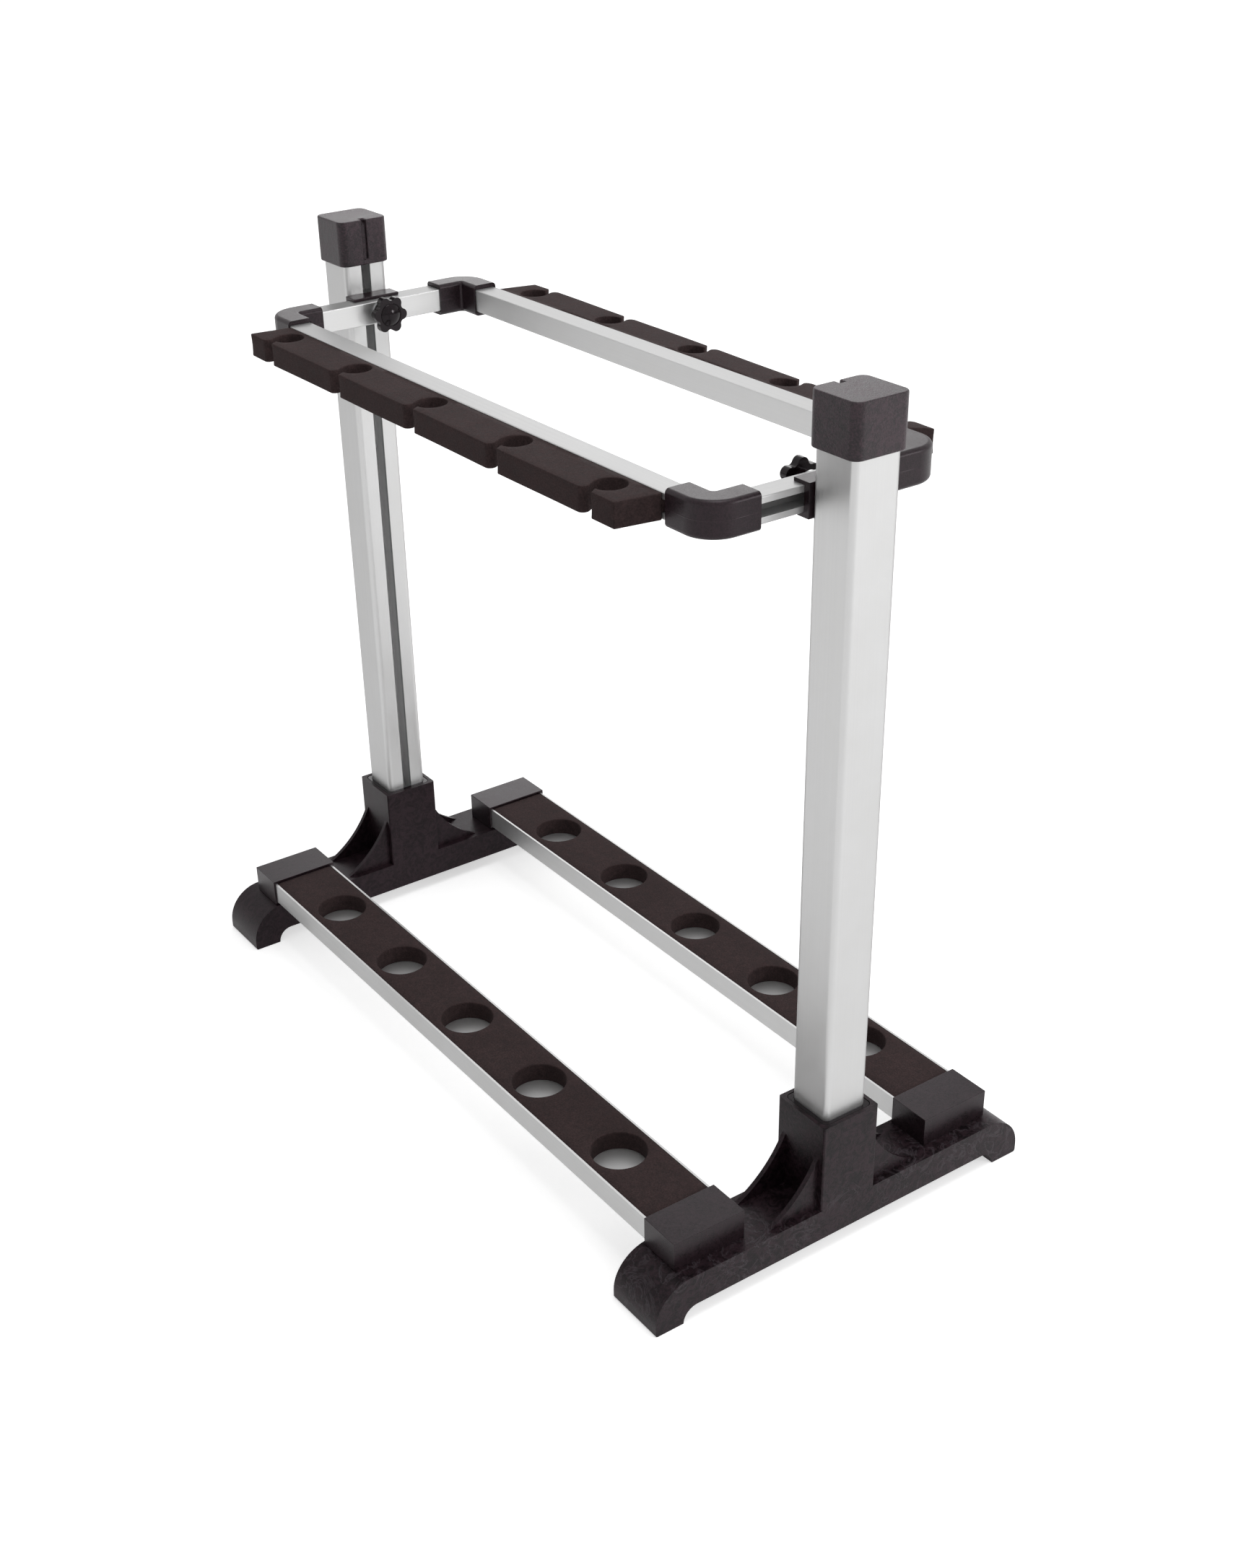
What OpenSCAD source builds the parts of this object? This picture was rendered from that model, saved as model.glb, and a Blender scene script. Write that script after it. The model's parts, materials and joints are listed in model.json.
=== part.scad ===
// Rod rack: two feet joined by two low rails with cup foams, and two slotted posts
// that carry a height-adjustable upper frame with hook foams.
// X runs along the rack, Y across it and Z up. The origin is on the ground, in the middle.
// Near is +X, far is -X, front is -Y and rear is +Y. All sizes are in millimetres.

/* [Overall] */
// Length over the two feet
rack_length = 539.75; // [360:0.25:900]
// Width of the rack, which is the length of a foot
rack_width = 279.4; // [250:0.1:420]
// Height to the top of the post caps
rack_height = 508; // [300:1:800]

/* [Feet] */
// Height of the foot's flat top
foot_top = 31; // [24:0.5:50]
// Height of the raised underside between the two pads
foot_lift = 9.8; // [4:0.2:14]
// Length of the pad at each end of a foot
pad_length = 19.5; // [8:0.5:35]
// Radius of the rounded toe
toe_radius = 25; // [4:0.5:40]
// Radius of the toe's bottom edge
toe_edge = 1.5; // [0.5:0.1:3]
// Height of the top of the post socket
socket_top = 90.7; // [75:0.1:140]
// Wall of the post socket
socket_wall = 2.4; // [1.5:0.1:6]
// Rounding of the socket's upright corners
socket_corner = 1.2; // [0.4:0.1:3]
// Plastic under the sleeve, above the raised underside
socket_floor = 4.2; // [2:0.2:8]
// Thickness of a rib
rib_thickness = 3; // [1.5:0.1:5]
// Distance between the middles of two ribs side by side
rib_spread = 29; // [18:0.5:34]
// Reach of a rib along the foot, from the socket
rib_reach = 36; // [15:0.5:46]
// Depth of a rib's top below the socket's rim
rib_drop = 23.2; // [10:0.1:40]
// Radius of a rib's hollow edge
rib_radius = 75; // [45:1:200]

/* [Post sleeves] */
// Wall of the sleeve round the post
sleeve_wall = 2.5; // [1.2:0.1:5]
// Rounding of the sleeve's outer corners
sleeve_corner = 3.5; // [1:0.1:5]
// Floor of the sleeve, on which the post stands
sleeve_floor = 3; // [1.5:0.1:6]
// Depth of the sleeve's rim below the socket's rim
sleeve_sink = 0.2; // [0:0.1:2]
// Diameter of the boss for the screw, inside the post
boss_d = 10; // [7:0.5:16]
// Height of the boss above the sleeve's floor
boss_height = 18; // [10:0.5:40]

/* [Posts] */
// Width of the square post
post_w = 30; // [24:0.5:34]
// Wall of the post
post_wall = 2.2; // [1.2:0.1:3.5]
// Rounding of the post's outer corners
post_corner = 3.3; // [0.6:0.1:5]
// Width of the post's slot
post_slot = 6.6; // [6.6:0.1:10]

/* [Post caps] */
// Height of a post cap
cap_height = 28.7; // [12:0.1:40]
// Wall of a post cap
cap_wall = 2.45; // [1:0.05:4]
// Thickness of a post cap's top
cap_top = 4; // [1.5:0.1:8]
// Rounding of a post cap's upright corners
cap_corner = 5.5; // [1:0.1:7]
// Width of the slit in a post cap
slit_w = 3; // [1:0.1:6]
// Depth of the slit in the cap's top, from the inner face
slit_depth = 4.5; // [3:0.1:8]
// Wall left behind the slit in the cap's inner face
slit_skin = 0.5; // [0.3:0.05:0.9]
// Thickness left under the slit in the cap's top
slit_floor = 1; // [0.5:0.1:1.4]
// Height of the unslit band at the cap's bottom
slit_foot = 3.2; // [1:0.1:10]

/* [Rails] */
// Width of a rail
rail_w = 47; // [38:0.5:52]
// Height of a rail
rail_h = 15.2; // [12:0.1:24]
// Wall of a rail, and of its web
rail_wall = 1.4; // [0.8:0.1:2.5]
// Height of the web's top above the rail's bottom edge
rail_web = 3.05; // [2.6:0.05:8]
// Distance from a foot's end to the middle of a rail
rail_inset = 45.5; // [38:0.1:54]

/* [Rail end caps] */
// Length of a rail end cap
rail_cap_length = 28.5; // [16:0.5:36]
// Thickness of a rail end cap's sides and end
rail_cap_wall = 1.4; // [0.8:0.1:3]
// Thickness of a rail end cap's floor and top
rail_cap_skin = 1.85; // [0.8:0.05:3]
// Distance from the foot's outer side to the end cap
rail_cap_inset = 10; // [4:0.5:14]

/* [Cup foams] */
// Number of cups in a rail
cups = 5; // [1:1:5]
// Distance from cup to cup
cup_pitch = 86; // [42:0.5:104]
// Diameter of a cup
cup_d = 34.4; // [20:0.1:36]
// Foam left between the last cup and the strip's end, at least
cup_margin = 3; // [1:0.5:20]
// Height of the foam above the rail's edge
cup_foam_rise = 0.4; // [0:0.05:1.2]

/* [Upper frame] */
// Width over the two long bars
frame_width = 152.2; // [120:0.2:200]
// Distance from the rack's top down to the middle of the bars
frame_drop = 56.15; // [46:0.05:120]
// Width of a bar seen from above
bar_w = 14.5; // [12:0.1:20]
// Height of a bar
bar_h = 14.2; // [12:0.1:20]
// Wall of a bar
bar_wall = 1.8; // [1:0.1:2.2]
// Rounding of a bar's long edges
bar_edge = 0.6; // [0.2:0.1:0.9]
// Width of a bar's slot
bar_slot = 7; // [6.8:0.1:8]

/* [Elbows] */
// Length of an elbow's leg from the outer corner
elbow_leg = 33.2; // [28:0.1:42]
// Wall of an elbow beside the bars
elbow_side = 1.1; // [0.8:0.05:3]
// Wall of an elbow above and below the bars
elbow_top = 2.9; // [1:0.05:4]
// Radius of the elbow's inner corner seen from above
elbow_bend = 1.7; // [0.5:0.1:6]
// Rounding of an elbow's long edges
elbow_edge = 2.6; // [0.3:0.05:4]
// Plastic between the ends of the two pockets
elbow_core = 1; // [0.6:0.1:4]
// Depth of the relief round a pocket's mouth
mouth_depth = 0.7; // [0.3:0.1:2]
// Width of the relief round a pocket's mouth
mouth_w = 0.45; // [0.2:0.05:0.7]

/* [Hook foams] */
// Number of hooks in a strip
hooks = 5; // [1:1:5]
// Distance from hook to hook
hook_pitch = 86; // [34:0.5:89]
// Diameter of a hook's hole
hook_d = 18.4; // [10:0.2:20]
// Foam left between the last hook and the strip's end, at least
hook_margin = 5; // [3:0.5:20]
// Distance from the bar's face to the middle of a hole
hook_out = 12.1; // [10.8:0.1:16]
// Reach of the strip beyond the bar's face
strip_w = 26.2; // [24:0.1:34]
// Thickness of the strip
strip_h = 13.8; // [8:0.1:14]
// Depth of the strip's top below the bar's top
strip_sink = 0.35; // [0:0.05:2]
// Distance from the near elbow to the front strip
front_near_gap = 2.7; // [0.5:0.1:10]
// Distance from the far elbow to the front strip
front_far_gap = 0.9; // [0.5:0.1:10]
// Distance from an elbow to the rear strip
rear_strip_gap = 5.2; // [0.5:0.1:10]
// Distance from the middle of the bar to the middle hook
hook_shift = 4; // [0:0.1:6]
// Shift of the outer edge against the inner one
strip_slant = 5; // [0:0.5:8]
// Radius of the finger's tip at a hook's mouth
tip_radius = 3.6; // [2:0.1:4.6]
// Distance of the finger's tip from the hole's middle, along the strip
tip_gap = 5; // [3.4:0.1:6]
// Distance of the mouth's other wall from the hole's middle, at the hole
neck_side = 0.4; // [0:0.1:3]
// Distance of the mouth's other wall from the hole's middle, at the outer edge
mouth_side = 3.5; // [1:0.1:6]
// Depth of the strip's tongue in the bar's slot
tongue_depth = 6; // [2:0.1:8]

/* [Saddles] */
// Width of a saddle across the rack
saddle_w = 33.2; // [20:0.2:60]
// Thickness of the plate between bar and post
saddle_plate = 3.9; // [2.5:0.1:9]
// Reach of the top flange over the bar
saddle_top_reach = 8.1; // [2:0.1:11]
// Reach of the bottom flange under the bar
saddle_bottom_reach = 4.8; // [2:0.1:11]
// Thickness of the top flange
saddle_top_t = 2; // [1:0.1:4]
// Thickness of the bottom flange
saddle_bottom_t = 2.4; // [1:0.1:4]

/* [Clamps] */
// Diameter of the clamp stud
stud_d = 6; // [4:0.1:6]
// Length of stud that stands out of the slot nut when the clamp is tight
stud_spare = 2.6; // [1.6:0.1:6]
// Width of the slot nut inside the post
nut_w = 16; // [12:0.5:18]
// Height of the slot nut
nut_h = 18; // [12:0.5:30]
// Thickness of the slot nut behind the slot's lips
nut_t = 5; // [3:0.1:9]
// Distance between the stud and a lug of the slot nut
lug_gap = 1; // [0.5:0.1:2]
// Diameter of the washer
washer_d = 14; // [10:0.2:20]
// Thickness of the washer
washer_t = 1; // [0.6:0.1:2]
// Number of lobes on the knob
lobes = 6; // [5:1:7]
// Diameter over the lobes
knob_d = 24; // [22:0.2:30]
// Diameter between the valleys
valley_d = 18.4; // [16.4:0.1:19]
// Radius of a lobe's end
lobe_radius = 3.6; // [3:0.1:3.8]
// Thickness of the star
star_t = 5; // [3:0.1:9]
// Diameter of the hub behind the star
hub_d = 12.5; // [9:0.1:15]
// Length of the hub
hub_length = 5.4; // [2:0.1:10]
// Diameter of the domed middle
dome_d = 14; // [8:0.2:15]
// Height of the domed middle
dome_h = 2.5; // [0.8:0.1:4]
// Width of the groove round the domed middle
ring_w = 0.5; // [0.2:0.1:1]
// Depth of the groove round the domed middle
ring_depth = 0.4; // [0.2:0.1:1]
// Plastic left in front of the stud in the knob
stud_cover = 1; // [0.6:0.1:2.5]
// Turn of the near knob's first lobe from +Y towards +Z
near_knob_turn = 27; // [0:1:60]
// Turn of the far knob's first lobe from +Y towards +Z
far_knob_turn = 55; // [0:1:60]

/* [Screws] */
// Diameter of the screws under the feet
screw_d = 4; // [3:0.1:5]
// Diameter of a screw's head
screw_head_d = 7.4; // [6:0.1:9]
// Height of a screw's head
screw_head_h = 2.6; // [1.5:0.1:4]
// Width over flats of a screw's socket
screw_key = 2.5; // [1.5:0.1:4]
// Depth of a screw's socket
screw_key_depth = 1.4; // [0.6:0.1:2]
// Depth of the post screw's tip below the boss's top
boss_spare = 2; // [0.5:0.5:6]
// Depth of the rail screws' counterbore above the raised underside
counterbore = 8; // [3:0.5:12]
// Reach of a rail screw above the rail's web
rail_screw_spare = 2.5; // [0.5:0.1:5]

/* [Clearances] */
// Between the sleeve and the socket, on each side
sleeve_fit = 0.3; // [0.1:0.05:0.6]
// Between a post and its sleeve or cap, on each side
post_fit = 0.1; // [0.05:0.05:0.3]
// Between a rail and its end cap, on each side
rail_fit = 0.05; // [0.05:0.05:0.3]
// Between a foam and the metal beside it
foam_fit = 0.15; // [0.05:0.05:0.5]
// Between a bar and an elbow's pocket, on each side
bar_fit = 0.05; // [0.05:0.05:0.2]
// Between the saddle's flanges and the bar
saddle_fit = 0.05; // [0:0.05:0.3]
// Between the parts that slide along a post and the post
slide_fit = 0.275; // [0.15:0.025:0.6]
// Between the stud and the nut's thread, on each side
thread_fit = 0.05; // [0.02:0.01:0.1]
// Round a screw or stud in a plain hole, on each side
hole_fit = 0.3; // [0.1:0.05:0.4]

/* [Hidden] */
$fn = 64;

// Sides of the rack
near = 1;
far = -1;
front = -1;
rear = 1;

// Colours of the materials
plastic = "#232427";
aluminium = "#b4b6b8";
foam = "#3a3230";
steel = "#8f9194";
gloss = "#151516";

// Overshoot of a cut past the face it opens
over = 1;
// Least radius inside a rounded tube
least_round = 0.1;
// Least wall that a rounding leaves
least_wall = 0.3;
// Depth by which a straight edge cuts into a curve that it runs into
bite = 0.1;

// Sections of post, sleeve, socket and cap, all square and centred on the post
sleeve_hole_w = post_w + 2 * post_fit;
sleeve_w = sleeve_hole_w + 2 * sleeve_wall;
socket_hole_w = sleeve_w + 2 * sleeve_fit;
foot_w = socket_hole_w + 2 * socket_wall;
cap_w = post_w + 2 * (post_fit + cap_wall);
post_x = rack_length / 2 - foot_w / 2;
post_face = post_x - post_w / 2;
sleeve_z = foot_lift + socket_floor;
post_z = sleeve_z + sleeve_floor;
post_top = rack_height - cap_top;
rib_height = socket_top - rib_drop - foot_top;

// Rails and their end caps
rail_y = rack_width / 2 - rail_inset;
rail_cap_out = rack_length / 2 - rail_cap_inset;
rail_cap_in = rail_cap_out - rail_cap_length;
rail_end = rail_cap_out - rail_cap_wall - rail_fit;
rail_z = foot_top + rail_cap_skin + rail_fit;
rail_top = rail_z + rail_h;
web_top = rail_z + rail_web;
rail_screw_x = (rail_cap_in + rail_cap_out) / 2;
cup_foam_end = rail_cap_in - foam_fit;
cups_that_fit = 1 + floor((2 * (cup_foam_end - cup_margin) - cup_d) / cup_pitch);

// Upper frame: faces of the bars, and openings of the elbows
frame_z = rack_height - frame_drop;
bar_bottom = frame_z - bar_h / 2;
bar_top = frame_z + bar_h / 2;
end_bar_out = post_face - slide_fit - saddle_plate;
end_bar_in = end_bar_out - bar_w;
long_bar_out = frame_width / 2;
long_bar_in = long_bar_out - bar_w;
elbow_out_x = end_bar_out + bar_fit + elbow_side;
elbow_out_y = long_bar_out + bar_fit + elbow_side;
elbow_open_x = elbow_out_x - elbow_leg;
elbow_open_y = elbow_out_y - elbow_leg;
elbow_w = bar_w + 2 * (bar_fit + elbow_side);
elbow_h = bar_h + 2 * (bar_fit + elbow_top);
elbow_corner = elbow_bend + elbow_w;
relief_side = elbow_side - mouth_w;
relief_top = elbow_top - mouth_w;
relief_room = max(0, (relief_side - least_wall) * (relief_top - least_wall));
elbow_round = min(elbow_edge, relief_side + relief_top - least_wall + sqrt(2 * relief_room));
long_bar_end = end_bar_in - elbow_core;
end_bar_end = long_bar_in - elbow_core;
strip_top = bar_top - strip_sink;

// Clamps along X, measured from the middle of the rack
nut_in = post_face + post_wall + slide_fit;
nut_out = nut_in + nut_t;
stud_out = nut_out + stud_spare;
washer_in = end_bar_in - washer_t;
star_out = washer_in - hub_length;
star_in = star_out - star_t;
stud_in = star_in + stud_cover;
stud_hole_d = stud_d + 2 * hole_fit;
thread_d = stud_d + 2 * thread_fit;
screw_hole_d = screw_d + 2 * hole_fit;
screw_thread_d = screw_d + 2 * thread_fit;

// Mirrors its children to the near or far end, and to the front or rear side
module at_corner(end_side, cross_side) {
    mirror([end_side < 0 ? 1 : 0, 0, 0]) mirror([0, cross_side < 0 ? 1 : 0, 0]) children();
}

// Turns its children half round when they belong to the side away from home
module half_turn(side, home) {
    rotate([0, 0, side == home ? 0 : 180]) children();
}

// Rectangle of w by h about the origin, with its corners rounded to r
module round_rect(w, h, r) {
    square([w - 2 * r, h], center = true);
    square([w, h - 2 * r], center = true);
    for (sx = [-1, 1], sy = [-1, 1]) translate([sx * (w / 2 - r), sy * (h / 2 - r)]) circle(r);
}

// Stands a drawing of Y and Z upright and gives it a length along X, centred
module along_x(length) {
    rotate([90, 0, 90]) linear_extrude(length, center = true) children();
}

// Stands a drawing of X and Z upright and gives it a length along Y, centred
module along_y(length) {
    rotate([90, 0, 0]) linear_extrude(length, center = true) children();
}

// Round bar along X from one distance to the other, at the height of the bars' middle
module rod_x(from, to, d) {
    translate([from, 0, frame_z]) rotate([0, 90, 0]) cylinder(h = to - from, d = d);
}

// Side view of a foot's beam, with rounded toes and a raised underside
module foot_side() {
    half = rack_width / 2;
    toe = min(toe_radius, foot_top - 2 * toe_edge);
    arch_end = half - pad_length - foot_lift;
    difference() {
        union() {
            translate([-(half - toe), toe_edge]) square([2 * (half - toe), foot_top - toe_edge]);
            translate([-half, toe_edge]) square([2 * half, foot_top - toe - toe_edge]);
            translate([-(half - toe_edge), 0]) square([2 * (half - toe_edge), toe_edge]);
            for (side = [-1, 1]) translate([side * (half - toe_edge), toe_edge]) circle(toe_edge);
            intersection() {
                for (side = [-1, 1]) translate([side * (half - toe), foot_top - toe]) circle(toe);
                translate([-half, toe_edge]) square([2 * half, foot_top]);
            }
        }
        translate([-arch_end, -over]) square([2 * arch_end, foot_lift + over]);
        for (side = [-1, 1]) translate([side * arch_end, 0]) circle(foot_lift);
    }
}

// Side view of a rib, whose hollow edge runs from the socket down to the beam
module rib_side() {
    root = foot_w / 2;
    chord = norm([rib_reach, rib_height]);
    rise = sqrt(rib_radius * rib_radius - chord * chord / 4);
    centre_y = root + rib_reach / 2 + rise * rib_height / chord;
    centre_z = foot_top + rib_height / 2 + rise * rib_reach / chord;
    difference() {
        polygon([[root - over, foot_top - over], [root + rib_reach, foot_top - over],
            [root + rib_reach, foot_top], [root, foot_top + rib_height],
            [root - over, foot_top + rib_height]]);
        translate([centre_y, centre_z]) circle(rib_radius, $fn = 180);
    }
}

// Foot: beam, post socket and four ribs, with the screw holes
module foot(end_side) {
    color(plastic) at_corner(end_side, rear) translate([post_x, 0, 0]) difference() {
        union() {
            along_x(foot_w) foot_side();
            translate([0, 0, foot_lift]) linear_extrude(socket_top - foot_lift)
                round_rect(foot_w, foot_w, socket_corner);
            for (row = [-1, 1], side = [-1, 1]) translate([row * rib_spread / 2, 0, 0])
                mirror([0, side < 0 ? 1 : 0, 0]) along_x(rib_thickness) rib_side();
        }
        translate([0, 0, sleeve_z]) linear_extrude(socket_top)
            round_rect(socket_hole_w, socket_hole_w, sleeve_corner + sleeve_fit);
        cylinder(h = socket_top, d = screw_hole_d);
        for (side = [-1, 1]) translate([rail_screw_x - post_x, side * rail_y, 0]) {
            cylinder(h = socket_top, d = screw_hole_d);
            cylinder(h = foot_lift + counterbore, d = screw_head_d + 2 * hole_fit);
        }
    }
}

// Collar between socket and post, with a floor and a boss for the screw
module post_sleeve(end_side) {
    color(gloss) translate([end_side * post_x, 0, sleeve_z]) difference() {
        linear_extrude(socket_top - sleeve_sink - sleeve_z)
            round_rect(sleeve_w, sleeve_w, sleeve_corner);
        translate([0, 0, sleeve_floor]) difference() {
            linear_extrude(socket_top)
                round_rect(sleeve_hole_w, sleeve_hole_w, post_corner + post_fit);
            cylinder(h = boss_height, d = boss_d);
        }
        translate([0, 0, -over]) cylinder(h = socket_top, d = screw_thread_d);
    }
}

// Square tube with a slot in the face towards the middle
module post(end_side) {
    inner_w = post_w - 2 * post_wall;
    color(aluminium) half_turn(end_side, near) translate([post_x, 0, post_z])
        linear_extrude(post_top - post_z) difference() {
            round_rect(post_w, post_w, post_corner);
            round_rect(inner_w, inner_w, max(post_corner - post_wall, least_round));
            translate([-post_w / 2, 0]) square([2 * (post_wall + over), post_slot], center = true);
        }
}

// Cap over the post's top, with a slit in its inner face
module post_cap(end_side) {
    hole_w = post_w + 2 * post_fit;
    color(plastic) half_turn(end_side, near) translate([post_x, 0, rack_height - cap_height])
        difference() {
            linear_extrude(cap_height) round_rect(cap_w, cap_w, cap_corner);
            translate([0, 0, -cap_top]) linear_extrude(cap_height)
                round_rect(hole_w, hole_w, post_corner + post_fit);
            translate([-cap_w / 2 - over, -slit_w / 2, slit_foot])
                cube([cap_wall - slit_skin + over, slit_w, cap_height]);
            translate([-cap_w / 2 - over, -slit_w / 2, cap_height - cap_top + slit_floor])
                cube([slit_depth + over, slit_w, cap_top]);
        }
}

// Screw whose head is seated at one height, and whose tip is at another
module screw(seat_z, tip_z) {
    translate([0, 0, seat_z]) cylinder(h = tip_z - seat_z, d = screw_d);
    translate([0, 0, seat_z - screw_head_h]) difference() {
        cylinder(h = screw_head_h, d = screw_head_d);
        translate([0, 0, -over])
            cylinder(h = screw_key_depth + over, d = screw_key / cos(30), $fn = 6);
    }
}

// Screw from beneath through the foot into the sleeve's boss
module post_screw(end_side) {
    color(steel) translate([end_side * post_x, 0, 0])
        screw(foot_lift, post_z + boss_height - boss_spare);
}

// Two screws from beneath through the foot and the end caps into the rails
module rail_screws(end_side) {
    color(steel) for (side = [front, rear]) translate([end_side * rail_screw_x, side * rail_y, 0])
        screw(foot_lift + counterbore, web_top + rail_screw_spare);
}

// Channel from foot to foot, with a raised web under the foam
module rail(cross_side) {
    channel_w = rail_w - 2 * rail_wall;
    color(aluminium) translate([0, cross_side * rail_y, rail_z]) difference() {
        along_x(2 * rail_end) difference() {
            translate([-rail_w / 2, 0]) square([rail_w, rail_h]);
            translate([-channel_w / 2, rail_web]) square([channel_w, rail_h]);
            translate([-channel_w / 2, -rail_wall]) square([channel_w, rail_web]);
        }
        for (side = [near, far]) translate([side * rail_screw_x, 0, 0])
            cylinder(h = rail_h, d = screw_thread_d);
    }
}

// Foam in a rail between the end caps, with round cups down to the web
module cup_foam(cross_side) {
    count = min(cups, cups_that_fit);
    foam_w = rail_w - 2 * (rail_wall + foam_fit);
    foam_h = rail_top + cup_foam_rise - web_top;
    color(foam) translate([0, cross_side * rail_y, web_top]) difference() {
        translate([-cup_foam_end, -foam_w / 2, 0]) cube([2 * cup_foam_end, foam_w, foam_h]);
        for (i = [0:count - 1]) translate([(i - (count - 1) / 2) * cup_pitch, 0, -over])
            cylinder(h = foam_h + 2 * over, d = cup_d);
    }
}

// Box over a rail's end, open towards the middle, standing on the foot
module rail_cap(end_side, cross_side) {
    hole_w = rail_w + 2 * rail_fit;
    hole_h = rail_h + 2 * rail_fit;
    cap_size = [rail_cap_length, hole_w + 2 * rail_cap_wall, hole_h + 2 * rail_cap_skin];
    color(plastic) at_corner(end_side, cross_side) translate([rail_cap_in, rail_y, foot_top])
        difference() {
            translate([0, -cap_size[1] / 2, 0]) cube(cap_size);
            translate([-rail_cap_wall, -hole_w / 2, rail_cap_skin])
                cube([rail_cap_length, hole_w, hole_h]);
            translate([rail_cap_length / 2, 0, -over])
                cylinder(h = rail_cap_skin + 2 * over, d = screw_hole_d);
        }
}

// Section of a bar, with its slot towards the drawing's right
module bar_section() {
    difference() {
        round_rect(bar_w, bar_h, bar_edge);
        square([bar_w - 2 * bar_wall, bar_h - 2 * bar_wall], center = true);
        translate([bar_w / 2, 0]) square([2 * (bar_wall + over), bar_slot], center = true);
    }
}

// Long bar of the upper frame, with its slot outwards
module long_bar(cross_side) {
    color(aluminium) half_turn(cross_side, rear) translate([0, long_bar_out - bar_w / 2, frame_z])
        along_x(2 * long_bar_end) bar_section();
}

// End bar of the upper frame, with its slot outwards and a hole for the stud
module end_bar(end_side) {
    color(aluminium) half_turn(end_side, near) difference() {
        translate([end_bar_out - bar_w / 2, 0, frame_z]) along_y(2 * end_bar_end) bar_section();
        rod_x(end_bar_in - over, end_bar_in + bar_wall + over, stud_hole_d);
    }
}

// Elbow that joins a long bar and an end bar, with a pocket for each
module elbow(end_side, cross_side) {
    corner_x = elbow_out_x - elbow_corner;
    corner_y = elbow_out_y - elbow_corner;
    color(plastic) at_corner(end_side, cross_side) translate([0, 0, frame_z]) difference() {
        union() {
            translate([elbow_out_x - elbow_w / 2, (elbow_open_y + corner_y) / 2, 0])
                along_y(corner_y - elbow_open_y) round_rect(elbow_w, elbow_h, elbow_round);
            translate([(elbow_open_x + corner_x) / 2, elbow_out_y - elbow_w / 2, 0])
                along_x(corner_x - elbow_open_x) round_rect(elbow_w, elbow_h, elbow_round);
            translate([corner_x, corner_y, 0]) rotate_extrude(angle = 90)
                translate([elbow_corner - elbow_w / 2, 0])
                    round_rect(elbow_w, elbow_h, elbow_round);
        }
        translate([end_bar_out - bar_w / 2, 0, 0]) {
            elbow_pocket(end_bar_end, bar_fit, 0);
            elbow_pocket(elbow_open_y + mouth_depth, bar_fit + mouth_w, 0);
        }
        translate([0, long_bar_out - bar_w / 2, 0]) {
            elbow_pocket(long_bar_end, bar_fit, 90);
            elbow_pocket(elbow_open_x + mouth_depth, bar_fit + mouth_w, 90);
        }
    }
}

// Room for a bar with a gap on each side, from the middle outwards along Y or along X
module elbow_pocket(end, gap, turn) {
    size = [bar_w + 2 * gap, end + bar_fit, bar_h + 2 * gap];
    rotate([0, 0, -turn]) translate([-size[0] / 2, 0, -size[2] / 2]) cube(size);
}

// Opening of a hook about its hole's middle, with the outer edge at a distance upwards
module hook_opening(edge) {
    hole = hook_d / 2;
    tip = [-tip_gap - tip_radius, edge - tip_radius + bite];
    bearing = atan2(tip[1], tip[0]) + acos(min(1, (hole + tip_radius) / norm(tip)));
    along = [cos(bearing), sin(bearing)];
    neck = [neck_side, sqrt(hole * hole - neck_side * neck_side) - bite];
    flare = (mouth_side - neck_side) / (edge - neck[1]);
    circle(hole);
    difference() {
        polygon([[0, 0], (hole - bite) * along, tip - (tip_radius - bite) * along, tip,
            [tip[0], edge + over], [mouth_side + flare * over, edge + over], neck]);
        translate(tip) circle(tip_radius);
    }
}

// Foam strip along a long bar, with open hooks and a tongue in the bar's slot
module hook_foam(cross_side) {
    right = elbow_open_x - (cross_side == front ? front_near_gap : rear_strip_gap);
    left = elbow_open_x - (cross_side == front ? front_far_gap : rear_strip_gap);
    reach = min(right - strip_slant + hook_shift, left - hook_shift) - hook_margin;
    count = min(hooks, 1 + floor((2 * reach - hook_d) / hook_pitch));
    tongue_h = bar_slot - 2 * foam_fit;
    color(foam) half_turn(cross_side, front) translate([0, -long_bar_out, 0]) {
        translate([0, 0, strip_top - strip_h]) linear_extrude(strip_h) mirror([0, 1])
            difference() {
                polygon([[-left, 0], [right, 0], [right - strip_slant, strip_w],
                    [-left - strip_slant, strip_w]]);
                for (i = [0:count - 1])
                    translate([(i - (count - 1) / 2) * hook_pitch - hook_shift, hook_out])
                        hook_opening(strip_w - hook_out);
            }
        translate([over - left, -over, frame_z - tongue_h / 2])
            cube([left + right - 2 * over, tongue_depth + over, tongue_h]);
    }
}

// Plate between end bar and post, with a flange over and one under the bar
module saddle(end_side) {
    top = bar_top + saddle_fit;
    bottom = bar_bottom - saddle_fit;
    plate_out = end_bar_out + saddle_plate;
    color(plastic) half_turn(end_side, near) difference() {
        along_y(saddle_w) {
            translate([end_bar_out, bottom - saddle_bottom_t])
                square([saddle_plate, top - bottom + saddle_top_t + saddle_bottom_t]);
            translate([end_bar_out - saddle_top_reach, top])
                square([saddle_top_reach + saddle_plate, saddle_top_t]);
            translate([end_bar_out - saddle_bottom_reach, bottom - saddle_bottom_t])
                square([saddle_bottom_reach + saddle_plate, saddle_bottom_t]);
        }
        rod_x(end_bar_out - over, plate_out + over, stud_hole_d);
    }
}

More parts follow.
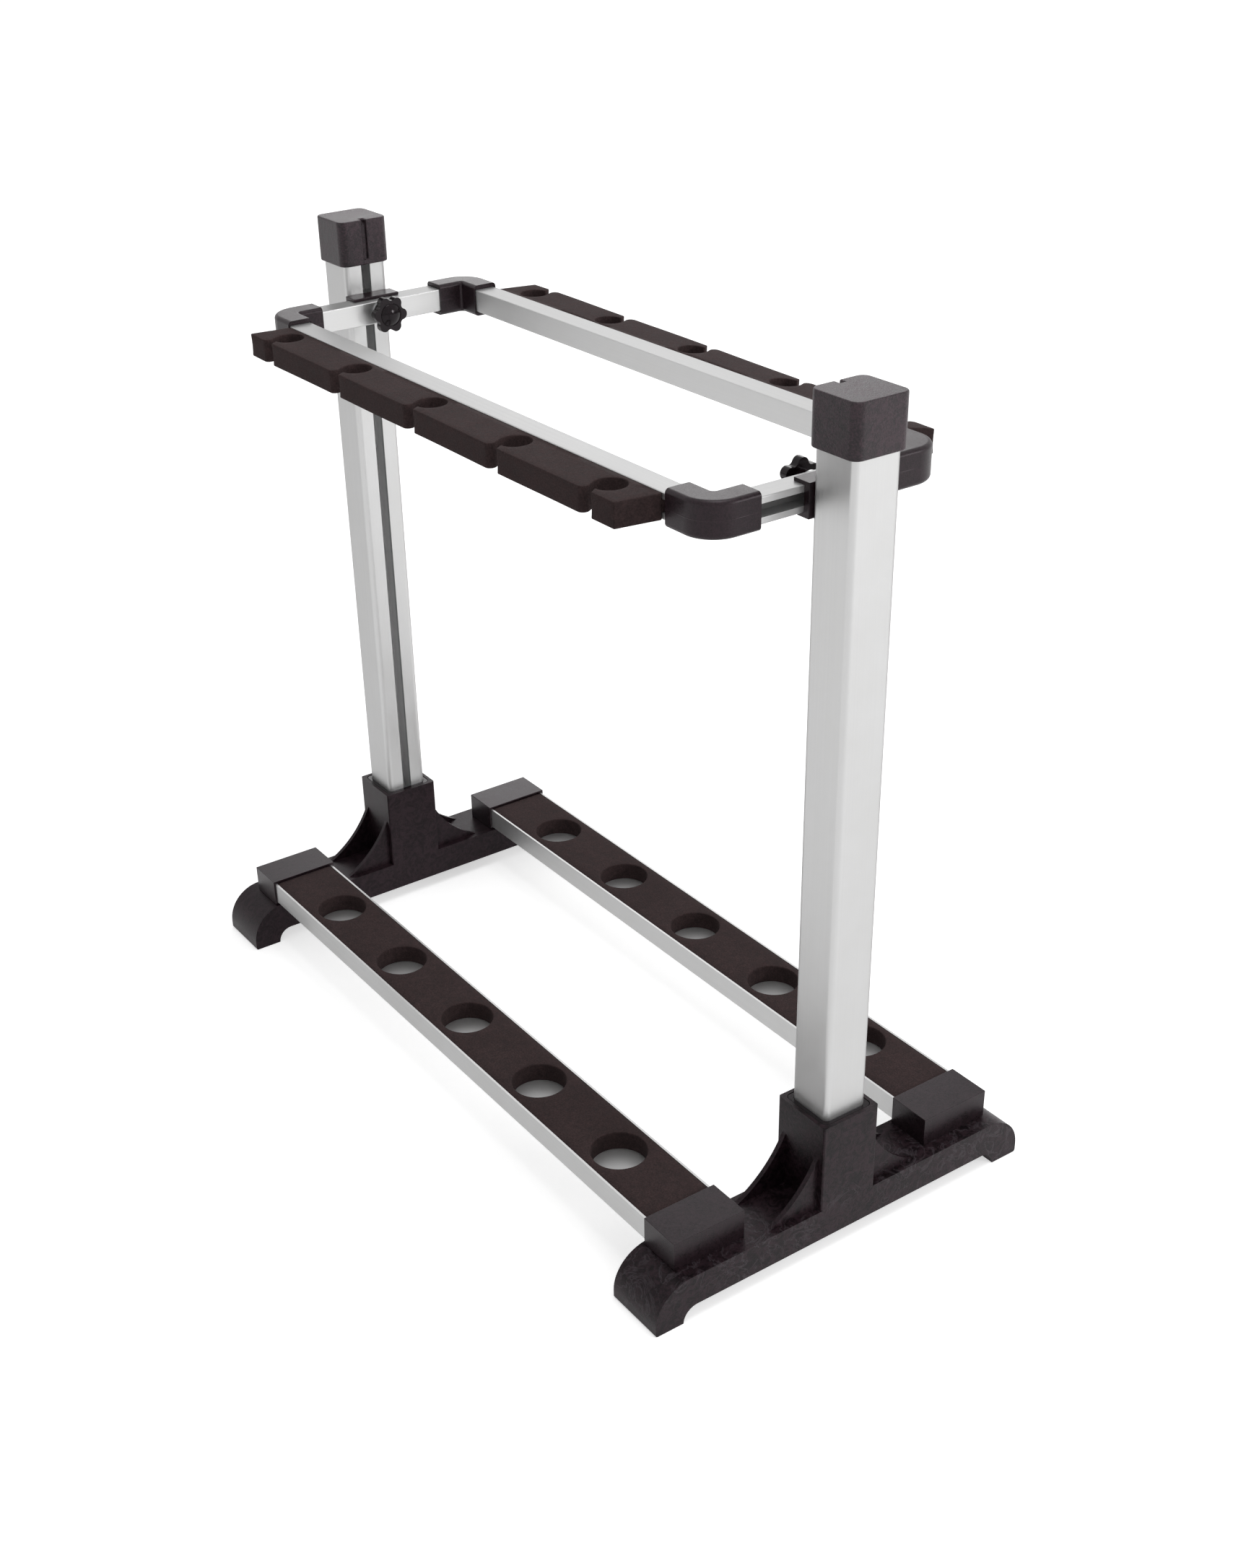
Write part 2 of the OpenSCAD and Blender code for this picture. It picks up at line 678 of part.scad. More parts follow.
// Nut inside the post, with a lug above and below the stud in the post's slot
module slot_nut(end_side) {
    lug_w = post_slot - 2 * slide_fit;
    lug_in = post_face - slide_fit;
    lug_foot = stud_d / 2 + lug_gap;
    color(steel) half_turn(end_side, near) difference() {
        union() {
            translate([nut_in, -nut_w / 2, frame_z - nut_h / 2]) cube([nut_t, nut_w, nut_h]);
            for (side = [0, 180]) translate([0, 0, frame_z]) rotate([side, 0, 0])
                translate([lug_in, -lug_w / 2, lug_foot])
                    cube([nut_in - lug_in + over, lug_w, nut_h / 2 - lug_foot]);
        }
        rod_x(nut_in - over, nut_out + over, thread_d);
    }
}

// Threaded stud that the knob turns in the slot nut
module clamp_stud(end_side) {
    color(steel) half_turn(end_side, near) rod_x(stud_in, stud_out, stud_d);
}

// Washer between knob and end bar
module washer(end_side) {
    color(steel) half_turn(end_side, near) difference() {
        rod_x(washer_in, end_bar_in, washer_d);
        rod_x(washer_in - over, end_bar_in + over, stud_hole_d);
    }
}

// Outline of the star, whose valleys run smoothly into its lobes
module star() {
    step = 360 / lobes;
    reach = knob_d / 2 - lobe_radius;
    valley = valley_d / 2;
    dip = (reach * reach + valley * valley - 2 * reach * valley * cos(step / 2)
        - lobe_radius * lobe_radius) / (2 * (lobe_radius - valley + reach * cos(step / 2)));
    dip_centre = (valley + dip) * [cos(step / 2), sin(step / 2)];
    meeting = [reach, 0] + (dip_centre - [reach, 0]) * lobe_radius / (lobe_radius + dip);
    difference() {
        union() {
            circle(norm(meeting));
            for (i = [0:lobes - 1]) rotate(i * step) translate([reach, 0]) circle(lobe_radius);
        }
        for (i = [0:lobes - 1]) rotate(i * step) translate(dip_centre) circle(dip);
    }
}

// Star knob with a hub towards the bar and a domed middle towards the rack's inside
module knob(end_side, turn) {
    dome = dome_d / 2;
    ball = (dome * dome + dome_h * dome_h) / (2 * dome_h);
    color(gloss) at_corner(end_side, rear) difference() {
        union() {
            translate([(star_in + star_out) / 2, 0, frame_z]) rotate([turn, 0, 0])
                along_x(star_t) star();
            rod_x(star_out - over, washer_in, hub_d);
            translate([star_in, 0, frame_z]) rotate([0, -90, 0]) rotate_extrude() intersection() {
                translate([0, dome_h - ball]) circle(ball, $fn = 128);
                translate([0, -ring_depth]) square([dome, dome_h + ring_depth]);
            }
        }
        difference() {
            rod_x(star_in - over, star_in + ring_depth, dome_d + 2 * ring_w);
            rod_x(star_in - 2 * over, star_in + 2 * over, dome_d);
        }
        rod_x(stud_in, washer_in + over, thread_d);
    }
}

foot(near);  // near_foot
foot(far);  // far_foot
post_sleeve(near);  // near_post_sleeve
post_sleeve(far);  // far_post_sleeve
post(near);  // near_post
post(far);  // far_post
post_cap(near);  // near_post_cap
post_cap(far);  // far_post_cap
post_screw(near);  // near_post_screw
post_screw(far);  // far_post_screw
rail(front);  // front_rail
rail(rear);  // rear_rail
cup_foam(front);  // front_cup_foam
cup_foam(rear);  // rear_cup_foam
rail_cap(near, front);  // near_front_rail_cap
rail_cap(near, rear);  // near_rear_rail_cap
rail_cap(far, front);  // far_front_rail_cap
rail_cap(far, rear);  // far_rear_rail_cap
rail_screws(near);  // near_rail_screws
rail_screws(far);  // far_rail_screws
long_bar(front);  // front_bar
long_bar(rear);  // rear_bar
end_bar(near);  // near_end_bar
end_bar(far);  // far_end_bar
elbow(near, front);  // near_front_elbow
elbow(near, rear);  // near_rear_elbow
elbow(far, front);  // far_front_elbow
elbow(far, rear);  // far_rear_elbow
hook_foam(front);  // front_hook_foam
hook_foam(rear);  // rear_hook_foam
saddle(near);  // near_saddle
saddle(far);  // far_saddle
slot_nut(near);  // near_slot_nut
slot_nut(far);  // far_slot_nut
clamp_stud(near);  // near_clamp_stud
clamp_stud(far);  // far_clamp_stud
washer(near);  // near_washer
washer(far);  // far_washer
knob(near, near_knob_turn);  // near_knob
knob(far, far_knob_turn);  // far_knob
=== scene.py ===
"""Looks of the rod rack: materials, foam strips, rounded mouldings, floor and light. Metres, +Z up."""
import json
import math

import bmesh
import bpy
from mathutils import Matrix, Vector
from mathutils.geometry import delaunay_2d_cdt

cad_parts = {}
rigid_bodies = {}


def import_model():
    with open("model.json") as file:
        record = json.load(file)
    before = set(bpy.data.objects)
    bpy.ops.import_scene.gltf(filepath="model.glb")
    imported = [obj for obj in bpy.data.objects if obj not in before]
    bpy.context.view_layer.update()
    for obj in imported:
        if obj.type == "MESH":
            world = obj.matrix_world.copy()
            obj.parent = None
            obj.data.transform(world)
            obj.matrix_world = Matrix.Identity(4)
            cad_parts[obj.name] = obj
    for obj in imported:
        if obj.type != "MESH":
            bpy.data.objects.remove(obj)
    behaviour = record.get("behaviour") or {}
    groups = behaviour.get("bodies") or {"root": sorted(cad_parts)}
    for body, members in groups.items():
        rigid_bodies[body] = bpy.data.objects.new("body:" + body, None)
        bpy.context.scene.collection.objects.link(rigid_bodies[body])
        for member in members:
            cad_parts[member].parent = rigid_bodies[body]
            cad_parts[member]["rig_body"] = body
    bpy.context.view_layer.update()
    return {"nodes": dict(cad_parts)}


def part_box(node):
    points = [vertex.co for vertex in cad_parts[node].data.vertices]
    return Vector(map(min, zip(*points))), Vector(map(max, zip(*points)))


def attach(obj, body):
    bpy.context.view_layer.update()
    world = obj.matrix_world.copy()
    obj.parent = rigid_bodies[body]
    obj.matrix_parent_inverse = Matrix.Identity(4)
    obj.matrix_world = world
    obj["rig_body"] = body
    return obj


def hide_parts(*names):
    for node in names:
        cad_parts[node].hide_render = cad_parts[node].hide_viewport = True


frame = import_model()
nodes = frame["nodes"]

MM = 0.001
BARS_Z = 451.85  # middle height of the upper frame's bars, in millimetres
PITCH = 86.0  # spacing of the cups, and of the hooks, in millimetres
COUNT = 5  # cups in a rail's strip, and hooks in a bar's

# Camera at the photograph's viewpoint. Focal length and centre are in the photograph's pixels.
PHOTO_WIDTH, PHOTO_HEIGHT = 1708, 2172
CAMERA_PLACE = (0.924997, -0.615785, 0.781775)
AZIMUTH, ELEVATION, ROLL = (math.radians(a) for a in (56.592, 30.105, -1.889))
FOCAL, CENTRE_X, CENTRE_Y = 2704.2, 795.5, 1187.07
SENSOR = 36


def make_camera():
    """The camera looks from its azimuth and elevation, rolled, with its centre shifted."""
    level = math.cos(ELEVATION)
    back = Vector((math.sin(AZIMUTH) * level, -math.cos(AZIMUTH) * level, math.sin(ELEVATION)))
    side = Vector((math.cos(AZIMUTH), math.sin(AZIMUTH), 0))
    up = back.cross(side)
    right = side * math.cos(ROLL) + up * math.sin(ROLL)
    top = up * math.cos(ROLL) - side * math.sin(ROLL)
    camera = bpy.data.objects.new("camera", bpy.data.cameras.new("camera"))
    turn = Matrix((right, top, back)).transposed().to_4x4()
    camera.matrix_world = Matrix.Translation(CAMERA_PLACE) @ turn
    data = camera.data
    data.sensor_width = SENSOR
    data.lens = FOCAL * SENSOR / PHOTO_HEIGHT
    data.shift_x = (PHOTO_WIDTH / 2 - CENTRE_X) / PHOTO_HEIGHT
    data.shift_y = (CENTRE_Y - PHOTO_HEIGHT / 2) / PHOTO_HEIGHT
    data.clip_start, data.clip_end = 0.02, 60
    bpy.context.scene.collection.objects.link(camera)
    bpy.context.scene.camera = camera


make_camera()
bpy.context.scene.view_settings.view_transform = "Standard"


class Tree:
    """A node tree. Its helpers add a node and return one of its output sockets."""

    def __init__(self, owner):
        self.nodes, self.links = owner.node_tree.nodes, owner.node_tree.links
        self.shader = self.nodes.get("Principled BSDF")

    def add(self, kind, inputs=None, out=0, **settings):
        node = self.nodes.new(kind)
        for key, value in settings.items():
            setattr(node, key, value)
        for key, value in (inputs or {}).items():
            if isinstance(value, bpy.types.NodeSocket):
                self.links.new(value, node.inputs[key])
            else:
                node.inputs[key].default_value = value
        return node.outputs[out]

    def place(self, scale=(1, 1, 1)):
        """Object coordinates in metres, stretched by a scale along each axis."""
        coords = self.add("ShaderNodeTexCoord", out="Object")
        return self.add("ShaderNodeMapping", {"Vector": coords, "Scale": scale})

    def axis(self, vector, index):
        return self.add("ShaderNodeSeparateXYZ", {"Vector": vector}, out=index)

    def noise(self, vector, scale, detail=2.0, roughness=0.5, distortion=0.0):
        return self.add("ShaderNodeTexNoise", {"Vector": vector, "Scale": scale, "Detail": detail,
                                               "Roughness": roughness, "Distortion": distortion})

    def span(self, value, low, high, to_low, to_high):
        """A value between low and high, mapped to between to_low and to_high and kept there."""
        return self.add("ShaderNodeMapRange", {"Value": value, "From Min": low, "From Max": high,
                                               "To Min": to_low, "To Max": to_high})

    def math(self, operation, a, b=0.5):
        return self.add("ShaderNodeMath", {0: a, 1: b}, operation=operation)

    def blend(self, factor, a, b):
        return self.add("ShaderNodeMix", {"Factor": factor, 6: a, 7: b}, out=2, data_type="RGBA")

    def bump(self, height, distance, strength=1.0, normal=None):
        inputs = {"Height": height, "Distance": distance, "Strength": strength}
        if normal is not None:
            inputs["Normal"] = normal
        return self.add("ShaderNodeBump", inputs)

    def shown(self):
        """1 for a ray that shows the background as it is: to the camera, and in metal and glass."""
        path = self.add("ShaderNodeLightPath").node.outputs
        return self.math("MAXIMUM", path["Is Camera Ray"],
                         self.math("MAXIMUM", path["Is Glossy Ray"], path["Is Transmission Ray"]))

    def set(self, **inputs):
        """Set or link sockets of the shader, with an underscore for each space in a name."""
        for name, value in inputs.items():
            socket = self.shader.inputs[name.replace("_", " ")]
            if isinstance(value, bpy.types.NodeSocket):
                self.links.new(value, socket)
            else:
                socket.default_value = value


def new_material(name):
    material = bpy.data.materials.new(name)
    material.use_nodes = True
    return material, Tree(material)


def grey(value, tint=(1, 1, 1)):
    return (value * tint[0], value * tint[1], value * tint[2], 1)


# Materials. The plastics and the foam have the photograph's brown cast.
BROWN = (1, 0.56, 0.72)
PALE_BROWN = (1, 0.8, 0.92)


def plastic(name, tone, roughness, hide, contrast=0.4, flow=0.4, specular=0.3, marbling=190,
            seam=None, veins=0.0):
    """Moulded black plastic: leathery grain as deep as hide, in metres, marbled flow marks and slow
    drift. A seam is the height of a faint parting line, and veins how much paler than the tone
    thin flow lines are, low down on the moulding."""
    material, t = new_material(name)
    place = t.place()
    drift = t.noise(place, 26, 3, 0.6, 1.6)
    marble = t.noise(place, marbling, 4, 0.7, 1.8)
    grain = t.noise(place, 1050, 3, 0.75)
    marks = t.math("ADD", t.math("MULTIPLY", drift, 0.2),
                   t.math("ADD", t.math("MULTIPLY", marble, flow),
                          t.math("MULTIPLY", grain, 0.8 - flow)))
    rough = t.span(marks, 0.4, 0.6, roughness * 0.85, roughness * 1.15)
    height = t.math("ADD", t.math("MULTIPLY", grain, hide), t.math("MULTIPLY", marble, hide * 0.5))
    if seam is not None:
        away = t.math("ABSOLUTE", t.math("SUBTRACT", t.axis(place, 2), seam))
        worn = t.span(t.noise(place, 75, 3), 0.42, 0.58, 0.1, 1.0)
        line = t.math("MULTIPLY", t.span(away, 0.0001, 0.0003, 1, 0), worn)
        marks = t.math("ADD", marks, t.math("MULTIPLY", line, 0.16))
        height = t.math("ADD", height, t.math("MULTIPLY", line, 0.00007))
    colour = t.blend(t.span(marks, 0.44, 0.56, 0, 1), grey(tone * (1 - contrast), BROWN),
                     grey(tone * (1 + 1.6 * contrast), BROWN))
    if veins:
        ridge = t.math("ABSOLUTE", t.math("SUBTRACT", t.noise(place, 55, 4, 0.6, 1.4), 0.5))
        patchy = t.span(t.noise(place, 24, 2), 0.44, 0.56, 0.1, 1)
        line = t.math("MULTIPLY", t.span(ridge, 0.0, 0.03, 1, 0), patchy)
        line = t.math("MULTIPLY", line, t.span(t.axis(place, 2), 0.033, 0.045, 1, 0.15))
        colour = t.blend(line, colour, grey(tone * veins, PALE_BROWN))
    fine = t.bump(t.noise(place, 2600, 3, 0.65), 0.00004, 0.6)
    t.set(Base_Color=colour, Roughness=rough, Normal=t.bump(height, 1.0, 1.0, fine),
          Specular_IOR_Level=specular, Specular_Tint=(1, 0.92, 0.97, 1))
    return material


def aluminium(name, along, hollow=None):
    """Satin anodised extrusion: faint die lines along one axis and a cloudy tone. Inside a hollow,
    given by its centre and half width in metres and a tone, the metal is painted a dull non-metal of
    that tone, as painted light and shade for what shows inside the slot."""
    base, roughness, metallic = 0.56, 0.43, 0.9
    material, t = new_material(name)
    across = [1500.0, 1500.0, 1500.0]
    across[along] = 5.0
    lines = t.noise(t.place(across), 1.0, 3, 0.6)
    place = t.place()
    cloud = t.noise(place, 30, 3, 0.55)
    speck = t.noise(place, 1800, 2, 0.6)
    colour = t.blend(t.span(cloud, 0.3, 0.7, 0, 1), grey(base * 0.97, (1, 0.998, 0.993)),
                     grey(base * 1.02))
    rough = t.math("ADD", t.span(cloud, 0.3, 0.7, roughness - 0.03, roughness + 0.03),
                   t.span(lines, 0.25, 0.75, -0.05, 0.05))
    fine = t.bump(speck, 0.00003, 0.35)
    drawn = t.bump(lines, 0.00003, 0.35, fine)
    # Painted light and shade: inside a hollow the metal becomes a dull non-metal of a given tone, pale
    # in the posts and darker in the end bars, for how bright each slot looks.
    if hollow:
        centre, half, painted_light_tone = hollow
        sides = [t.math("ABSOLUTE", t.math("SUBTRACT", t.axis(place, k), centre[k]))
                 for k in range(3) if k != along]
        hollow_painted = t.math("LESS_THAN", t.math("MAXIMUM", *sides), half)
        colour = t.blend(hollow_painted, colour, grey(painted_light_tone))
        metallic = t.math("MULTIPLY", t.math("SUBTRACT", 1.0, hollow_painted), metallic)
        rough = t.math("MAXIMUM", rough, t.math("MULTIPLY", hollow_painted, 0.8))
    t.set(Base_Color=colour, Metallic=metallic, Roughness=rough, Normal=drawn,
          Specular_Tint=grey(0.3))
    return material


def foam_material(name):
    """Closed-cell foam: brownish black, with open cells on its cut skin and a mottled nap."""
    material, t = new_material(name)
    place = t.place()
    mottle = t.noise(place, 260, 4, 0.65, 0.4)
    cloud = t.noise(place, 35, 3, 0.6)
    nap_speck = t.noise(place, 950, 2, 0.7)
    cells = t.add("ShaderNodeTexVoronoi", {"Vector": place, "Scale": 1900.0}, out="Distance")
    tone = t.math("MULTIPLY", t.span(mottle, 0.3, 0.7, 0.72, 1.35),
                  t.span(cloud, 0.3, 0.7, 0.9, 1.12))
    tone = t.math("MULTIPLY", tone, t.span(nap_speck, 0.3, 0.7, 0.72, 1.28))
    colour = t.blend(t.span(tone, 0.5, 1.6, 0, 1), (0.0135, 0.0080, 0.0082, 1),
                     (0.052, 0.0325, 0.0325, 1))
    pits = t.bump(t.span(cells, 0.0, 0.6, 0, 1), 0.00012, 0.5)
    nap = t.bump(mottle, 0.0004, 0.35, pits)
    swell = t.bump(cloud, 0.0012, 0.2, nap)
    t.set(Base_Color=colour, Roughness=t.span(mottle, 0.3, 0.7, 0.78, 0.95), Normal=swell,
          Specular_IOR_Level=0.17)
    return material


def steel_material(name):
    """Bright zinc plate, with a blotchy shine."""
    material, t = new_material(name)
    place = t.place()
    blotch = t.noise(place, 400, 3, 0.6)
    colour = t.blend(t.span(blotch, 0.3, 0.7, 0, 1), (0.52, 0.53, 0.55, 1), (0.68, 0.68, 0.67, 1))
    t.set(Base_Color=colour, Metallic=1.0, Roughness=t.span(blotch, 0.3, 0.7, 0.22, 0.4),
          Normal=t.bump(t.noise(place, 2200, 2), 0.00003, 0.4))
    return material


BLACK = plastic("black_plastic", tone=0.0115, roughness=0.32, hide=0.00005, specular=0.25)
FOOT_BLACK = {
    "near": plastic("near_foot_plastic", tone=0.0116, roughness=0.36, hide=0.0001, contrast=0.62,
                    flow=0.6, specular=0.14, marbling=140, veins=3.6),
    "far": plastic("far_foot_plastic", tone=0.0122, roughness=0.36, hide=0.00008, contrast=0.4,
                   flow=0.6, specular=0.14, marbling=140)}
CAP_BLACK = plastic("cap_plastic", tone=0.0155, roughness=0.4, hide=0.0003, contrast=0.85,
                    flow=0.35, specular=0.38)
ELBOW_BLACK = plastic("elbow_plastic", tone=0.0125, roughness=0.38, hide=0.00004, flow=0.25,
                      specular=0.26, seam=BARS_Z * MM)
GLOSS = plastic("gloss_plastic", tone=0.0045, roughness=0.09, hide=0.00001, specular=0.2)
ALONG_X = aluminium("aluminium_x", 0)
FOAM = foam_material("foam")
STEEL = steel_material("steel")


def paint(obj, material):
    obj.data.materials.clear()
    obj.data.materials.append(material)


def new_object(name, mesh, material, body):
    obj = bpy.data.objects.new(name, mesh)
    bpy.context.scene.collection.objects.link(obj)
    paint(obj, material)
    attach(obj, body)
    return obj


def soften(node, material, radius):
    """Put a moulding in a CAD node's place: its solid, with the sharp edges rounded."""
    name = f"{node}_moulding"
    source = nodes[node]
    mesh = bpy.data.meshes.new(name)
    work = bmesh.new()
    work.from_mesh(source.data)
    bmesh.ops.remove_doubles(work, verts=work.verts, dist=1e-6)
    bmesh.ops.dissolve_limit(work, angle_limit=math.radians(0.6), verts=work.verts,
                             edges=work.edges)
    sharp = math.radians(28)
    edges = [e for e in work.edges if len(e.link_faces) == 2 and e.calc_face_angle(0) > sharp]
    bmesh.ops.bevel(work, geom=edges, offset=radius, offset_type="OFFSET", segments=3,
                    profile=0.5, affect="EDGES", clamp_overlap=True)
    bmesh.ops.recalc_face_normals(work, faces=work.faces)
    for face in work.faces:
        face.smooth = True
    for edge in work.edges:
        edge.smooth = len(edge.link_faces) != 2 or edge.calc_face_angle(0) < sharp
    work.to_mesh(mesh)
    work.free()
    obj = new_object(name, mesh, material, source["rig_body"])
    weigh = obj.modifiers.new("weigh", "WEIGHTED_NORMAL")
    weigh.keep_sharp = True
    weigh.weight = 80
    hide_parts(node)


# Outlines of the foam strips, in millimetres. An outline runs counter-clockwise, a hole clockwise.
def divided(points, step):
    """The same outline with points no further apart than a step."""
    out = []
    for i, p in enumerate(points):
        q = points[(i + 1) % len(points)]
        parts = max(1, math.ceil((q - p).length / step))
        out += [p + (q - p) * k / parts for k in range(parts)]
    return out


def arc(centre, radius, start, end, step):
    """Points of an arc from one bearing to another, at most a step apart, all three in degrees."""
    count = max(1, math.ceil(abs(end - start) / step))
    angles = [math.radians(start + (end - start) * k / count) for k in range(count + 1)]
    return [Vector((centre[0] + radius * math.cos(a), centre[1] + radius * math.sin(a)))
            for a in angles]


def fillet(before, corner, after, radius):
    """Points of an arc that rounds a corner."""
    a, b = (before - corner).normalized(), (after - corner).normalized()
    half = a.angle(b) / 2
    centre = corner + (a + b).normalized() * radius / math.sin(half)
    p = corner + a * radius / math.tan(half) - centre
    q = corner + b * radius / math.tan(half) - centre
    return [centre + p.slerp(q, k / 4) for k in range(5)]


def inside(rings, p, margin):
    """True where a point lies in the foam, at least a margin from every edge."""
    crossings = 0
    point = Vector(p)
    for ring in rings:
        for i, b in enumerate(ring):
            a = ring[i - 1]
            if (a.y > point.y) != (b.y > point.y):
                if point.x < a.x + (point.y - a.y) * (b.x - a.x) / (b.y - a.y):
                    crossings += 1
            edge = b - a
            k = max(0, min(1, (point - a).dot(edge) / max(edge.length_squared, 1e-12)))
            if (point - a - edge * k).length < margin:
                return False
    return crossings % 2 == 1


def ring_normals(ring):
    """Direction out of the foam at each point, as long as a mitre needs."""
    out = []
    for i, p in enumerate(ring):
        a, b = p - ring[i - 1], ring[(i + 1) % len(ring)] - p
        n1, n2 = Vector((a.y, -a.x)).normalized(), Vector((b.y, -b.x)).normalized()
        out.append((n1 + n2) / max(0.5, 1 + n1.dot(n2)))
    return out


# Foam strips, cut from sheet. Sizes in millimetres.
RIM = 0.6  # rounding of a strip's cut edges
HOLLOW = 0.25  # how far its cut faces pull in at mid height
GRID = 5  # spacing of the points that fill its top and bottom, along the strip


def foam_shell(rings, z0, z1, rim, lift, grid):
    """Vertices and faces of a slab from z0 to z1 with a rounded rim. The first ring is its outline
    and the others are holes. The grid's points fill its top and bottom, and lift(x, y) moves a
    point up."""
    normals = [ring_normals(r) for r in rings]
    steps = [math.radians(a) for a in (0, 30, 60, 90)]
    levels = [(rim * (1 - math.sin(a)), z0 + rim * (1 - math.cos(a))) for a in steps]
    height = z1 - z0 - 2 * rim
    levels += [(HOLLOW * math.sin(math.pi * k), z0 + rim + height * k) for k in (0.25, 0.5, 0.75)]
    levels += [(rim * (1 - math.cos(a)), z1 - rim * (1 - math.sin(a))) for a in steps]
    verts, faces, starts = [], [], []
    for ring, normal in zip(rings, normals):
        start = len(verts)
        starts.append(start)
        count = len(ring)
        for inset, z in levels:
            for p, n in zip(ring, normal):
                q = p - n * inset
                verts.append((q.x, q.y, z + lift(q.x, q.y)))
        for k in range(len(levels) - 1):
            for i in range(count):
                a, b = start + k * count + i, start + k * count + (i + 1) % count
                faces.append((a, b, b + count, a + count))
    # Top and bottom share one triangulation of the inset rings and the grid. The index gives each
    # of its points the vertex below and the vertex above.
    flat, index, loops = [], [], []
    for ring, normal, start in zip(rings, normals, starts):
        loops.append(list(range(len(flat), len(flat) + len(ring))))
        for i, (p, n) in enumerate(zip(ring, normal)):
            flat.append(p - n * rim)
            index.append((start + i, start + (len(levels) - 1) * len(ring) + i))
    for p in grid:
        flat.append(Vector(p))
        index.append((len(verts), len(verts) + 1))
        verts.append((p[0], p[1], z0 + lift(*p)))
        verts.append((p[0], p[1], z1 + lift(*p)))
    coords, _, triangles, origin, _, _ = delaunay_2d_cdt(flat, [], loops, 0, 1e-5)
    cut = [[flat[i] for i in loop] for loop in loops]
    for tri in triangles:
        if not inside(cut, sum((coords[v] for v in tri), Vector((0, 0))) / 3, 0):
            continue
        pair = [index[origin[v][0]] for v in tri]
        faces.append(tuple(above for _, above in pair))
        faces.append(tuple(below for below, _ in reversed(pair)))
    return verts, faces


def foam_piece(side, strip, body, shells):
    """Join shells, in millimetres, into the foam that takes a CAD strip's place."""
    name = f"{side}_{strip}_foam_cut"
    mesh = bpy.data.meshes.new(name)
    verts, faces = [], []
    for shell_verts, shell_faces in shells:
        faces += [tuple(v + len(verts) for v in f) for f in shell_faces]
        verts += shell_verts
    mesh.from_pydata([Vector(v) * MM for v in verts], [], faces)
    mesh.validate()
    work = bmesh.new()
    work.from_mesh(mesh)
    bmesh.ops.recalc_face_normals(work, faces=work.faces)
    for face in work.faces:
        face.smooth = True
    work.to_mesh(mesh)
    work.free()
    obj = new_object(name, mesh, FOAM, body)
    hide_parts(f"{side}_{strip}_foam")


def size_mm(node):
    low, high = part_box(node)
    return low / MM, high / MM


def cup_foam(side):
    """A rail's strip, with a round hole for each rod's butt."""
    cup_radius, margin, insets = 17.2, 2.4, (5, 10, 16)
    low, high = size_mm(f"{side}_cup_foam")
    middle = (low.y + high.y) / 2
    corners = [Vector(c) for c in ((low.x, low.y), (high.x, low.y), (high.x, high.y),
                                   (low.x, high.y))]
    rings = [divided(corners, 5)]
    rows = [low.y + a for a in insets] + [middle] + [high.y - a for a in reversed(insets)]
    for i in range(COUNT):
        rings.append(arc(((i - (COUNT - 1) / 2) * PITCH, middle), cup_radius, 360, 0, 6)[:-1])
    grid = [(x, y) for x in range(int(low.x), int(high.x), GRID) for y in rows]
    grid = [p for p in grid if inside(rings, p, margin)]

    def lift(x, y):
        """Waves in the sheet, pressed down along the rail's sides."""
        wave = (0.10 * math.sin(x / 17.0 + 1.3 * math.sin(y / 9.0))
                + 0.06 * math.sin(x / 6.3 + y / 11.0))
        edge = min(y - low.y, high.y - y)
        return min(0, wave - 0.12) - 0.25 * max(0, 1 - edge / 3.0)

    foam_piece(side, "cup", "base", [foam_shell(rings, low.z, high.z, RIM, lift, grid)])


